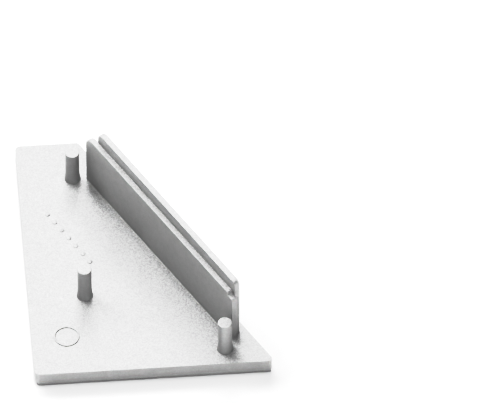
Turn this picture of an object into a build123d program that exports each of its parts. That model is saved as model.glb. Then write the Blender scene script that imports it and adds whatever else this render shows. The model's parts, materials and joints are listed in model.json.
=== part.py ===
from build123d import *
import os

# Profile end cap: one moulded plate that closes the cut end of a 30/60 degree corner profile.
# It lies on its outer face, with its pins and its rib pointing up. All sizes are in millimetres.
# The origin is at the middle of the plate's outline, on the outer face.
# X runs along the wide edge, Y along the long straight edge, Z from the outer face to the inner one.

# Plate outline: a right trapezoid with one slanted edge
wide_edge = 41.9
narrow_edge = 11.1
plate_length = 52.5
plate_thickness = 3.0
square_corner_radius = 0.9
slanted_corner_radius = 0.6
outer_face_edge_radius = 0.5

# Pins that press into the profile's screw channels. Each has a foot that flares towards the plate.
pin_diameter = 2.5
pin_height = 7.0
pin_foot_diameter = 2.88
pin_foot_height = 2.1
pin_tip_radius = 0.12

# Pin places: the far and the near pin stand beside the rib, the far and the middle one in a row
# along the long straight edge
far_pin_from_straight_edge = 9.62
far_pin_from_slanted_edge = 5.35
middle_pin_from_straight_edge = 9.92
middle_pin_from_wide_edge = 17.5
near_pin_from_slanted_edge = 5.5
near_pin_from_wide_edge = 3.45

# Rib: a ledge wall and, behind it, a tall wall that rises over it, both parallel to the slanted edge
rib_setback = 1.3
tall_wall_thickness = 1.05
ledge_wall_thickness = 1.05
ledge_height = 11.45
riser_height = 2.3

# Rib ends: the ledge's are measured from the plate's corners along the slanted edge. The tall wall
# starts just past the ledge's far nose and stops just before the ledge's near end.
ledge_far_margin = 7.6
ledge_near_margin = 8.15
tall_wall_past_nose = 0.1
tall_wall_near_step = 0.65
ledge_far_nose_radius = 2.2
tall_wall_far_nose_radius = 1.5
tall_wall_near_nose_radius = 0.9

# Toe: the ledge's near end is a little lower
toe_length = 1.4
toe_drop = 0.75
toe_radius = 0.3

# Rounding of the rib, at its foot on the plate and along its free edges
rib_root_radius = 0.12
rib_edge_radius = 0.15

# An edge this near to a plane counts as lying on it
edge_nearness = 0.01

# Plate corners. The rounded corner at the near end of the slanted edge stops short of the sharp one,
# and that sets the outline's real width.
slant_run = wide_edge - narrow_edge
slant_length = (slant_run**2 + plate_length**2) ** 0.5
corner_trim = slanted_corner_radius * (plate_length / (slant_length - slant_run) - 1)
straight_x = -(wide_edge - corner_trim) / 2
wide_y = -plate_length / 2
square_near = Vector(straight_x, wide_y)
square_far = Vector(straight_x, wide_y + plate_length)
slanted_near = Vector(straight_x + wide_edge, wide_y)
slanted_far = Vector(straight_x + narrow_edge, wide_y + plate_length)

# Upright plane over the slanted edge: its X runs from the far corner to the near one, its Y is up,
# and its normal points inwards over the plate
along_slant = (slanted_near - slanted_far).normalized()
inwards = along_slant.cross(Vector(0, 0, 1))
rib_plane = Plane(
    origin=slanted_far + Vector(0, 0, plate_thickness),
    x_dir=along_slant,
    z_dir=inwards,
)

ledge_start = ledge_far_margin
ledge_end = slant_length - ledge_near_margin
tall_start = ledge_start + ledge_far_nose_radius + tall_wall_past_nose
tall_end = ledge_end - tall_wall_near_step
tall_wall_height = ledge_height + riser_height
riser_depth = rib_setback + tall_wall_thickness


def along_slanted_edge(inset, y):
    """X of the point that lies at a given inset from the slanted edge and at a given Y."""
    return slanted_near.X - (inset * slant_length + (y - wide_y) * slant_run) / plate_length


def beside_slanted_edge(inset, x):
    """Y of the point that lies at a given inset from the slanted edge and at a given X."""
    return wide_y + ((slanted_near.X - x) * plate_length - inset * slant_length) / slant_run


far_pin_x = straight_x + far_pin_from_straight_edge
near_pin_y = wide_y + near_pin_from_wide_edge
pin_places = [
    (far_pin_x, beside_slanted_edge(far_pin_from_slanted_edge, far_pin_x)),
    (straight_x + middle_pin_from_straight_edge, wide_y + middle_pin_from_wide_edge),
    (along_slanted_edge(near_pin_from_slanted_edge, near_pin_y), near_pin_y),
]


def wall_side(plane, corners, radii):
    """Side view of one rib wall, from its foot at one end round its top to its foot at the other."""
    with BuildSketch(plane) as side:
        with BuildLine():
            outline = FilletPolyline(*corners, radius=radii)
            Line(outline @ 0, outline @ 1)
        make_face()
    return side.sketch


os.makedirs("parts", exist_ok=True)

with BuildPart() as end_cap:
    # Plate
    with BuildSketch():
        with BuildLine():
            FilletPolyline(
                square_near,
                slanted_near,
                slanted_far,
                square_far,
                radius=[
                    square_corner_radius,
                    slanted_corner_radius,
                    slanted_corner_radius,
                    square_corner_radius,
                ],
                close=True,
            )
        make_face()
    extrude(amount=plate_thickness)
    outer_face = end_cap.faces().sort_by(Axis.Z)[0]
    fillet(outer_face.edges(), radius=outer_face_edge_radius)

    # Rib: the tall wall stands nearest to the slanted edge, the ledge wall lies against its inner side
    tall_side = wall_side(
        rib_plane.offset(rib_setback),
        [
            (tall_start, 0),
            (tall_start, tall_wall_height),
            (tall_end, tall_wall_height),
            (tall_end, 0),
        ],
        [tall_wall_far_nose_radius, tall_wall_near_nose_radius],
    )
    extrude(tall_side, amount=tall_wall_thickness)
    ledge_side = wall_side(
        rib_plane.offset(riser_depth),
        [
            (ledge_start, 0),
            (ledge_start, ledge_height),
            (ledge_end - toe_length, ledge_height),
            (ledge_end - toe_length, ledge_height - toe_drop),
            (ledge_end, ledge_height - toe_drop),
            (ledge_end, 0),
        ],
        [ledge_far_nose_radius, toe_radius, toe_radius, toe_radius],
    )
    extrude(ledge_side, amount=ledge_wall_thickness)

    # Rib edges: the free ones are a little rounded. Those of the ledge's two ends, past the tall wall,
    # come after the others, because they run into the tall wall's rounded corners.
    free_edges = end_cap.edges().filter_by_position(
        Axis.Z,
        plate_thickness + rib_edge_radius,
        plate_thickness + tall_wall_height,
    )
    sharp_edges = free_edges.filter_by(lambda edge: not edge.is_interior)
    riser_edges = sharp_edges.filter_by_position(
        Axis(rib_plane.origin, inwards),
        riser_depth - edge_nearness,
        riser_depth + edge_nearness,
    )
    tall_wall_riser_edges = riser_edges.filter_by_position(
        Axis(rib_plane.origin, along_slant),
        tall_start - edge_nearness,
        tall_end + edge_nearness,
    )
    ledge_end_edges = riser_edges - tall_wall_riser_edges
    fillet(sharp_edges - ledge_end_edges, radius=rib_edge_radius)
    fillet(ledge_end_edges, radius=rib_edge_radius)

    # Rib root: the inner face meets the rib in a small radius
    inner_face = end_cap.faces().filter_by(Axis.Z).group_by(Axis.Z)[1].sort_by(SortBy.AREA)[-1]
    fillet(inner_face.inner_wires()[0].edges(), radius=rib_root_radius)

    # Pins: one half outline, turned about each pin's axis
    pin_radius = pin_diameter / 2
    for x, y in pin_places:
        pin_plane = Plane(origin=(x, y, plate_thickness), x_dir=(1, 0, 0), z_dir=(0, -1, 0))
        with BuildSketch(pin_plane):
            with BuildLine():
                shaft = FilletPolyline(
                    (0, pin_height),
                    (pin_radius, pin_height),
                    (pin_radius, pin_foot_height),
                    radius=pin_tip_radius,
                )
                foot = TangentArc(shaft @ 1, (pin_foot_diameter / 2, 0), tangent=shaft % 1)
                Polyline(foot @ 1, (0, 0), shaft @ 0)
            make_face()
        revolve(axis=Axis(pin_plane.origin, pin_plane.y_dir))

end_cap.part.label = "end_cap"
export_step(end_cap.part, "parts/end_cap.step")
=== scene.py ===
import json
import math

import bmesh
import bpy
from mathutils import Matrix, Vector


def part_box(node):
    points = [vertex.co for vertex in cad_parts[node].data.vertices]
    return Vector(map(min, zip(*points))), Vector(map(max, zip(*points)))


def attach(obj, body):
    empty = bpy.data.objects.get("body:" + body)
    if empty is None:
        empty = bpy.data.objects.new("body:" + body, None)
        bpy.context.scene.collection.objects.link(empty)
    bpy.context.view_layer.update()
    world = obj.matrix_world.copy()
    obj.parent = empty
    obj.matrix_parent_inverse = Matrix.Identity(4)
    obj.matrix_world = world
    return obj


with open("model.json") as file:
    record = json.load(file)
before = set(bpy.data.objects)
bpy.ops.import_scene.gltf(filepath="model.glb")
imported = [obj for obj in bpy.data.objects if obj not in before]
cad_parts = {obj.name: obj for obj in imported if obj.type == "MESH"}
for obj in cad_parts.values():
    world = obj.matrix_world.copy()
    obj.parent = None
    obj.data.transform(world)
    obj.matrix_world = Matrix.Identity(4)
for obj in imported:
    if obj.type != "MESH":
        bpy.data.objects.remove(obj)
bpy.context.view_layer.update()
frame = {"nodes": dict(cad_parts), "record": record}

MM = 0.001

# Camera, as the photograph was taken: a long lens, far off, half way up and turned a little from
# straight in front. Its angles are in degrees, and its lens and sensor in millimetres.
FRONT_AZIMUTH = -90.0
CAMERA_TURN = -4.295
CAMERA_ELEVATION = 49.614
CAMERA_ROLL = -0.113
CAMERA_DISTANCE = 2532.98 * MM
CAMERA_LENS = 1034.2
CAMERA_SENSOR = 36.0
CAMERA_NEAREST = 0.1
CAMERA_FARTHEST = 50.0
AIM_POINT = Vector((19.874, 12.941, 0.0)) * MM

# Studio: square softboxes round the object, each with its name, elevation, azimuth, size and power,
# under a dim sky and over a round white floor. Angles are in degrees, sizes in metres and powers
# in watts.
SOFTBOXES = (
    ("softbox_top", 86.0, 90.0, 1.4, 60.0),
    ("softbox_back", 39.0, 90.0, 1.4, 60.0),
    ("softbox_back_left", 38.0, 135.0, 1.7, 84.0),
    ("softbox_front_left", 12.0, 238.0, 1.2, 25.0),
    ("softbox_front_right", 12.0, 300.0, 1.2, 31.0),
)
SOFTBOX_DISTANCE = 3.2
SKY_COLOUR = (1.0, 1.0, 1.0, 1.0)
SKY_LIGHT = 0.1
BACKDROP_LIGHT = 1.3
FLOOR_RADIUS = 4.0
FLOOR_SIDES = 96
FLOOR_GAP = 0.01 * MM
PAPER_COLOUR = (0.88, 0.88, 0.88, 1.0)
PAPER_ROUGHNESS = 0.9
PAPER_GLOSS = 0.1

# Film response: pairs of light and tone, where WHITE_LIGHT is the light that just turns white
WHITE_LIGHT = 1.2
FILM_RESPONSE = (
    (0.1, 0.042),
    (0.15, 0.067),
    (0.2, 0.1),
    (0.25, 0.145),
    (0.3, 0.205),
    (0.35, 0.28),
    (0.42, 0.45),
    (0.5, 0.635),
    (0.6, 0.755),
    (0.7, 0.81),
    (0.8, 0.85),
    (0.95, 0.895),
    (1.1, 0.955),
)

# Paint: its colours and sheen, and the mould's grain, the flakes and the clouds that vary them
PAINT_COLOUR = (0.48, 0.48, 0.48, 1.0)
PAINT_DARK = (0.325, 0.325, 0.325, 1.0)
PAINT_METALLIC = 0.43
PAINT_ROUGHNESS = 0.55
ROUGHNESS_SPREAD = 0.04
FLAKE_SIZE = 0.16 * MM
GRAIN_SIZE = 0.15 * MM
GRAIN_DEPTH = 0.03 * MM
GRAIN_DETAIL = 2.0
GRAIN_HARSHNESS = 0.6
CLOUD_SIZE = 1.4 * MM
CLOUD_DETAIL = 2.0
CLOUD_STRENGTH = 0.35

# How much grain and flake a face shows: all of it where the face is flatter than FLAT_LIMIT, and
# WALL_GRAIN where it is steeper than WALL_LIMIT. Both limits are for the vertical part of the
# face's normal, which is 1 on a level face and 0 on an upright one.
WALL_LIMIT = 0.3
FLAT_LIMIT = 0.9
WALL_GRAIN = 0.2

# Moulding marks on the plate's inner face: a ring, and a row of dots along the slanted edge
MARK_HEIGHT = 0.16 * MM
MARK_WIDTH = 0.34 * MM
RING_FROM_STRAIGHT_EDGE = 6.126 * MM
RING_FROM_WIDE_EDGE = 8.25 * MM
RING_RADIUS = 2.1 * MM
RING_STEPS_AROUND = 64
RING_STEPS_ACROSS = 9
DOTS_FROM_STRAIGHT_EDGE = 8.026 * MM
DOTS_FROM_WIDE_EDGE = 30.65 * MM
DOT_ROW_ALONG = Vector((0.506, -0.8625, 0.0))
DOT_SPACING = 2.2 * MM
DOT_COUNT = 7
DOT_RADIUS = 0.46 * MM
DOT_STEPS_AROUND = 24
DOT_STEPS_UP = 12


def link(obj):
    """Put a new object into the scene."""
    bpy.context.scene.collection.objects.link(obj)
    return obj


def direction(azimuth, elevation):
    """Unit vector that points from the object at an azimuth and elevation, both in degrees."""
    turn = math.radians(azimuth)
    rise = math.radians(elevation)
    return Vector((
        math.cos(turn) * math.cos(rise),
        math.sin(turn) * math.cos(rise),
        math.sin(rise),
    ))


def add_camera():
    """Camera at the photograph's viewing angle."""
    back = direction(FRONT_AZIMUTH + CAMERA_TURN, CAMERA_ELEVATION)
    level_right = direction(CAMERA_TURN, 0.0)
    level_up = back.cross(level_right)
    roll = math.radians(CAMERA_ROLL)
    right = math.cos(roll) * level_right + math.sin(roll) * level_up
    up = math.cos(roll) * level_up - math.sin(roll) * level_right
    lens = bpy.data.cameras.new("camera")
    lens.lens = CAMERA_LENS
    lens.sensor_fit = "HORIZONTAL"
    lens.sensor_width = CAMERA_SENSOR
    lens.clip_start = CAMERA_NEAREST
    lens.clip_end = CAMERA_FARTHEST
    camera = link(bpy.data.objects.new("camera", lens))
    turned = Matrix((right, up, back)).transposed().to_4x4()
    camera.matrix_world = Matrix.Translation(AIM_POINT + CAMERA_DISTANCE * back) @ turned
    bpy.context.scene.camera = camera


def set_film_response():
    """Dark tones pressed down, steep middle tones, and highlights that roll off towards white."""
    view = bpy.context.scene.view_settings
    view.view_transform = "Standard"
    view.use_curve_mapping = True
    response = view.curve_mapping
    response.white_level = (WHITE_LIGHT, WHITE_LIGHT, WHITE_LIGHT)
    all_colours = response.curves[3]
    for light, tone in FILM_RESPONSE:
        all_colours.points.new(light / WHITE_LIGHT, tone)
    response.update()


def add_studio():
    """Sky, softboxes and floor."""
    bpy.context.scene.world = studio_sky()
    for name, elevation, azimuth, size, power in SOFTBOXES:
        add_softbox(name, direction(azimuth, elevation), size, power)
    add_floor()


def add_softbox(name, towards, size, power):
    """Square softbox that stands in one direction from the object and faces it."""
    panel = bpy.data.lights.new(name, "AREA")
    panel.shape = "SQUARE"
    panel.size = size
    panel.energy = power
    softbox = link(bpy.data.objects.new(name, panel))
    softbox.location = SOFTBOX_DISTANCE * towards
    softbox.rotation_euler = towards.to_track_quat("Z", "Y").to_euler()
    softbox.visible_camera = False


def add_floor():
    """Round floor of white paper, a hair below the cap."""
    mesh = bpy.data.meshes.new("floor")
    disc = bmesh.new()
    bmesh.ops.create_circle(disc, cap_ends=True, radius=FLOOR_RADIUS, segments=FLOOR_SIDES)
    disc.to_mesh(mesh)
    disc.free()
    mesh.materials.append(studio_paper())
    floor = link(bpy.data.objects.new("floor", mesh))
    floor.location.z = -FLOOR_GAP


def studio_sky():
    """Even white sky: dim as a light, and plain white where the camera looks at it."""
    world = bpy.data.worlds.new("studio_sky")
    world.use_nodes = True
    nodes = world.node_tree.nodes
    wires = world.node_tree.links
    sky = nodes["Background"]
    sky.inputs["Color"].default_value = SKY_COLOUR
    ray = nodes.new("ShaderNodeLightPath")
    light = nodes.new("ShaderNodeMapRange")
    light.inputs["To Min"].default_value = SKY_LIGHT
    light.inputs["To Max"].default_value = BACKDROP_LIGHT
    wires.new(ray.outputs["Is Camera Ray"], light.inputs["Value"])
    wires.new(light.outputs["Result"], sky.inputs["Strength"])
    return world


def studio_paper():
    """White paper, almost without a shine."""
    material = bpy.data.materials.new("studio_paper")
    material.use_nodes = True
    shader = material.node_tree.nodes["Principled BSDF"]
    shader.inputs["Base Color"].default_value = PAPER_COLOUR
    shader.inputs["Roughness"].default_value = PAPER_ROUGHNESS
    shader.inputs["Specular IOR Level"].default_value = PAPER_GLOSS
    return material


def silver_paint():
    """Satin metallic silver paint, grained on the flat faces and nearly smooth on the walls."""
    material = bpy.data.materials.new("satin_silver_paint")
    material.use_nodes = True
    nodes = material.node_tree.nodes
    wires = material.node_tree.links
    shader = nodes["Principled BSDF"]
    shader.inputs["Metallic"].default_value = PAINT_METALLIC

    place = nodes.new("ShaderNodeTexCoord")

    # Relief: 1 on the plate and on the tops, WALL_GRAIN on upright walls
    facing = nodes.new("ShaderNodeSeparateXYZ")
    wires.new(place.outputs["Normal"], facing.inputs["Vector"])
    flatness = nodes.new("ShaderNodeMath")
    flatness.operation = "ABSOLUTE"
    wires.new(facing.outputs["Z"], flatness.inputs[0])
    relief = nodes.new("ShaderNodeMapRange")
    relief.interpolation_type = "SMOOTHSTEP"
    relief.inputs["From Min"].default_value = WALL_LIMIT
    relief.inputs["From Max"].default_value = FLAT_LIMIT
    relief.inputs["To Min"].default_value = WALL_GRAIN
    relief.inputs["To Max"].default_value = 1.0
    wires.new(flatness.outputs["Value"], relief.inputs["Value"])

    # Grain of the mould under the paint
    grain = nodes.new("ShaderNodeTexNoise")
    grain.inputs["Scale"].default_value = 1.0 / GRAIN_SIZE
    grain.inputs["Detail"].default_value = GRAIN_DETAIL
    grain.inputs["Roughness"].default_value = GRAIN_HARSHNESS
    wires.new(place.outputs["Object"], grain.inputs["Vector"])
    height = nodes.new("ShaderNodeMath")
    height.operation = "MULTIPLY"
    wires.new(grain.outputs["Fac"], height.inputs[0])
    wires.new(relief.outputs["Result"], height.inputs[1])
    bump = nodes.new("ShaderNodeBump")
    bump.inputs["Strength"].default_value = 1.0
    bump.inputs["Distance"].default_value = GRAIN_DEPTH
    wires.new(height.outputs["Value"], bump.inputs["Height"])
    wires.new(bump.outputs["Normal"], shader.inputs["Normal"])

    # Flakes in the paint, each a little lighter or darker than the next. The share of the lighter
    # colour is spread evenly to both sides of a half, and on the walls it stays nearer to it.
    flakes = nodes.new("ShaderNodeTexVoronoi")
    flakes.inputs["Scale"].default_value = 1.0 / FLAKE_SIZE
    wires.new(place.outputs["Object"], flakes.inputs["Vector"])
    glint = nodes.new("ShaderNodeSeparateColor")
    wires.new(flakes.outputs["Color"], glint.inputs["Color"])
    spread = nodes.new("ShaderNodeMath")
    spread.operation = "SUBTRACT"
    spread.inputs[1].default_value = 0.5
    wires.new(glint.outputs["Red"], spread.inputs[0])
    share = nodes.new("ShaderNodeMath")
    share.operation = "MULTIPLY_ADD"
    share.inputs[2].default_value = 0.5
    wires.new(spread.outputs["Value"], share.inputs[0])
    wires.new(relief.outputs["Result"], share.inputs[1])

    # Faint clouds where the paint lies thicker or thinner
    clouds = nodes.new("ShaderNodeTexNoise")
    clouds.inputs["Scale"].default_value = 1.0 / CLOUD_SIZE
    clouds.inputs["Detail"].default_value = CLOUD_DETAIL
    wires.new(place.outputs["Object"], clouds.inputs["Vector"])
    clouded = nodes.new("ShaderNodeMapRange")
    clouded.clamp = False
    clouded.inputs["To Min"].default_value = -0.5 * CLOUD_STRENGTH
    clouded.inputs["To Max"].default_value = 0.5 * CLOUD_STRENGTH
    wires.new(clouds.outputs["Fac"], clouded.inputs["Value"])
    shade = nodes.new("ShaderNodeMath")
    shade.operation = "ADD"
    wires.new(share.outputs["Value"], shade.inputs[0])
    wires.new(clouded.outputs["Result"], shade.inputs[1])

    # Colour, from the flakes and the clouds together
    colour = nodes.new("ShaderNodeMix")
    colour.data_type = "RGBA"
    colour.inputs["A"].default_value = PAINT_DARK
    colour.inputs["B"].default_value = PAINT_COLOUR
    wires.new(shade.outputs["Value"], colour.inputs["Factor"])
    wires.new(colour.outputs["Result"], shader.inputs["Base Color"])

    # Sheen, a little uneven with the grain
    sheen = nodes.new("ShaderNodeMapRange")
    sheen.inputs["To Min"].default_value = PAINT_ROUGHNESS - ROUGHNESS_SPREAD
    sheen.inputs["To Max"].default_value = PAINT_ROUGHNESS + ROUGHNESS_SPREAD
    wires.new(grain.outputs["Fac"], sheen.inputs["Value"])
    wires.new(sheen.outputs["Result"], shader.inputs["Roughness"])
    return material


def finish_cap(paint):
    """The CAD solid keeps its shape and gets the paint."""
    cap = frame["nodes"]["end_cap"]
    cap.data.materials.clear()
    cap.data.materials.append(paint)


def on_inner_face(from_straight_edge, from_wide_edge):
    """Point on the plate's inner face, measured from its straight edge and its wide edge."""
    lowest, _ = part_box("end_cap")
    mounts = {mount["name"]: mount for mount in frame["record"]["mounts"]}
    height = mounts["inner_face"]["pos_m"][2]
    return Vector((lowest.x + from_straight_edge, lowest.y + from_wide_edge, height))


def add_mark(name, mark, paint):
    """Turn a mesh of one moulding mark into a painted piece of the cap."""
    mesh = bpy.data.meshes.new(name)
    mark.to_mesh(mesh)
    mark.free()
    mesh.shade_smooth()
    mesh.materials.append(paint)
    piece = link(bpy.data.objects.new(name, mesh))
    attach(piece, "root")


def add_ring_mark(paint):
    """Low round bead in a ring."""
    centre = on_inner_face(RING_FROM_STRAIGHT_EDGE, RING_FROM_WIDE_EDGE)
    ring = bmesh.new()
    loops = []
    for step in range(RING_STEPS_AROUND):
        turn = 2.0 * math.pi * step / RING_STEPS_AROUND
        outwards = Vector((math.cos(turn), math.sin(turn), 0.0))
        loop = []
        for part in range(RING_STEPS_ACROSS):
            angle = math.pi * part / (RING_STEPS_ACROSS - 1)
            reach = RING_RADIUS + 0.5 * MARK_WIDTH * math.cos(angle)
            rise = Vector((0.0, 0.0, MARK_HEIGHT * math.sin(angle)))
            loop.append(ring.verts.new(centre + reach * outwards + rise))
        loops.append(loop)
    for step in range(RING_STEPS_AROUND):
        here = loops[step]
        there = loops[(step + 1) % RING_STEPS_AROUND]
        for part in range(RING_STEPS_ACROSS):
            after = (part + 1) % RING_STEPS_ACROSS
            ring.faces.new((here[part], there[part], there[after], here[after]))
    bmesh.ops.recalc_face_normals(ring, faces=ring.faces)
    add_mark("ring_mark", ring, paint)


def add_dot_marks(paint):
    """Row of low round dots, half sunk in the inner face."""
    middle = on_inner_face(DOTS_FROM_STRAIGHT_EDGE, DOTS_FROM_WIDE_EDGE)
    flatten = Matrix.Diagonal((DOT_RADIUS, DOT_RADIUS, MARK_HEIGHT, 1.0))
    dots = bmesh.new()
    for number in range(DOT_COUNT):
        along = (number - 0.5 * (DOT_COUNT - 1)) * DOT_SPACING
        bmesh.ops.create_uvsphere(
            dots,
            u_segments=DOT_STEPS_AROUND,
            v_segments=DOT_STEPS_UP,
            radius=1.0,
            matrix=Matrix.Translation(middle + along * DOT_ROW_ALONG) @ flatten,
        )
    add_mark("dot_marks", dots, paint)


add_camera()
set_film_response()
add_studio()
paint = silver_paint()
finish_cap(paint)
add_ring_mark(paint)
add_dot_marks(paint)
